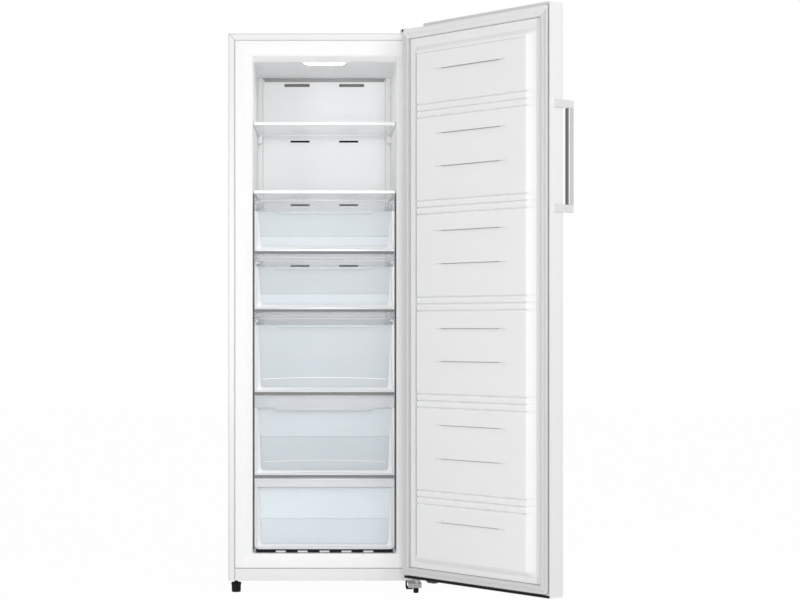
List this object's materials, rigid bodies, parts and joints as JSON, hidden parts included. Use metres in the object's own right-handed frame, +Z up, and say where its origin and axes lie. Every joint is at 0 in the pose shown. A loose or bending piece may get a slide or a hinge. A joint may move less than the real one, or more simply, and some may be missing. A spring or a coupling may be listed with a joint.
{
  "type": "upright freezer",
  "caption": "White upright freezer with its door open: glass shelves and an air duct above, clear pull-out drawers below, a ribbed door liner and a side bar handle.",
  "frame": {"origin": "centre of the underside of the front left foot, on the floor", "axes": "+Z up, +X to the freezer's right as it is faced, +Y from the front towards the back"},
  "size_m": [1.0084, 1.1118, 1.75],
  "materials": {
    "outer_shell": "satin white enamel",
    "back_panel": "bare galvanised sheet",
    "base_plate": "bare galvanised sheet",
    "kick_strip": "satin moulding",
    "inner_liner": "smooth thermoformed sheet",
    "cabinet_foam": "rigid foam, cut face",
    "duct_cover": "fine satin moulding",
    "evaporator_fins": "mill finish",
    "evaporator_coil": "mill finish",
    "defrost_heater": "mill finish",
    "fan_shroud": "moulded",
    "fan_motor": "moulded",
    "fan_blade": "moulded",
    "light_lens": "milky clear",
    "led_board": "solder mask",
    "shelf_glass": "clear toughened",
    "shelf_trim": "translucent moulding",
    "drawer_front": "clear, with a fine frosted inside",
    "drawer_basket": "clear moulding",
    "door_skin": "satin white enamel",
    "door_liner": "smooth thermoformed sheet",
    "door_foam": "rigid foam, cut face",
    "door_top_cap": "fine texture",
    "door_bottom_cap": "fine texture",
    "door_bushes": "smooth acetal",
    "door_stop": "fine texture",
    "door_gasket": "soft satin",
    "handle_block": "satin",
    "handle_bar": "brushed along its length",
    "hinge_bracket": "zinc plate",
    "hinge_pins": "turned",
    "hinge_cover": "satin moulding",
    "foot_bracket": "black coat",
    "foot": "moulded",
    "roller": "moulded",
    "roller_axles": "drawn",
    "compressor": "black stove enamel",
    "compressor_plate": "black stove enamel",
    "compressor_grommets": "matt",
    "relay_box": "moulded",
    "drip_tray": "moulded",
    "suction_pipe": "bare copper tube",
    "filter_dryer": "bare copper shell",
    "control_box": "moulded",
    "rear_cover": "bare galvanised sheet",
    "cord_gland": "moulded"
  },
  "bodies": {
    "cabinet": {"back_panel": "back_panel", "base_plate": "base_plate", "cabinet_foam": "cabinet_foam", "compressor": "compressor", "compressor_grommets": "compressor_grommets", "compressor_plate": "compressor_plate", "control_box": "control_box", "cord_gland": "cord_gland", "defrost_heater": "defrost_heater", "drip_tray": "drip_tray", "duct_cover": "duct_cover", "evaporator_coil": "evaporator_coil", "evaporator_fins": "evaporator_fins", "fan_motor": "fan_motor", "fan_shroud": "fan_shroud", "filter_dryer": "filter_dryer", "foot_bracket": "foot_bracket", "hinge_cover": "hinge_cover", "hinge_pins": "hinge_pins", "inner_liner": "inner_liner", "kick_strip": "kick_strip", "led_board": "led_board", "light_lens": "light_lens", "lower_hinge_bracket": "hinge_bracket", "outer_shell": "outer_shell", "rear_cover": "rear_cover", "relay_box": "relay_box", "roller_axles": "roller_axles", "shelf_1_glass": "shelf_glass", "shelf_1_trim": "shelf_trim", "shelf_2_glass": "shelf_glass", "shelf_2_trim": "shelf_trim", "suction_pipe": "suction_pipe", "upper_hinge_bracket": "hinge_bracket"},
    "door": {"door_skin": "door_skin", "door_liner": "door_liner", "door_foam": "door_foam", "door_top_cap": "door_top_cap", "door_bottom_cap": "door_bottom_cap", "door_bushes": "door_bushes", "door_stop": "door_stop", "door_gasket": "door_gasket", "lower_handle_block": "handle_block", "upper_handle_block": "handle_block", "handle_bar": "handle_bar"},
    "drawer_1": {"drawer_1_front": "drawer_front", "drawer_1_basket": "drawer_basket"},
    "drawer_2": {"drawer_2_front": "drawer_front", "drawer_2_basket": "drawer_basket"},
    "drawer_3": {"drawer_3_front": "drawer_front", "drawer_3_basket": "drawer_basket"},
    "drawer_4": {"drawer_4_front": "drawer_front", "drawer_4_basket": "drawer_basket"},
    "drawer_5": {"drawer_5_front": "drawer_front", "drawer_5_basket": "drawer_basket"},
    "fan": {"fan_blade": "fan_blade"},
    "left_foot_body": {"left_foot": "foot"},
    "right_foot_body": {"right_foot": "foot"},
    "left_roller_body": {"left_roller": "roller"},
    "right_roller_body": {"right_roller": "roller"}
  },
  "joints": [
    {"name": "door_hinge", "type": "hinge", "parent": "cabinet", "child": "door", "pos_m": [0.5585, -0.089, 0.9], "axis": [0, 0, 1], "range_deg": [-131, 0]},
    {"name": "drawer_1_slide", "type": "slide", "parent": "cabinet", "child": "drawer_1", "axis": [0, -1, 0], "range_m": [0, 0.33]},
    {"name": "drawer_2_slide", "type": "slide", "parent": "cabinet", "child": "drawer_2", "axis": [0, -1, 0], "range_m": [0, 0.33]},
    {"name": "drawer_3_slide", "type": "slide", "parent": "cabinet", "child": "drawer_3", "axis": [0, -1, 0], "range_m": [0, 0.33]},
    {"name": "drawer_4_slide", "type": "slide", "parent": "cabinet", "child": "drawer_4", "axis": [0, -1, 0], "range_m": [0, 0.33]},
    {"name": "drawer_5_slide", "type": "slide", "parent": "cabinet", "child": "drawer_5", "axis": [0, -1, 0], "range_m": [0, 0.18]},
    {"name": "fan_spin", "type": "hinge", "parent": "cabinet", "child": "fan", "pos_m": [0.275, 0.422, 0.97], "axis": [0, 1, 0], "continuous": true},
    {"name": "left_foot_screw", "type": "slide", "parent": "cabinet", "child": "left_foot_body", "axis": [0, 0, -1], "range_m": [0, 0.012]},
    {"name": "right_foot_screw", "type": "slide", "parent": "cabinet", "child": "right_foot_body", "axis": [0, 0, -1], "range_m": [0, 0.012]},
    {"name": "left_roller_spin", "type": "hinge", "parent": "cabinet", "child": "left_roller_body", "pos_m": [0.025, 0.508, 0.018], "axis": [1, 0, 0], "continuous": true},
    {"name": "right_roller_spin", "type": "hinge", "parent": "cabinet", "child": "right_roller_body", "pos_m": [0.525, 0.508, 0.018], "axis": [1, 0, 0], "continuous": true}
  ]
}
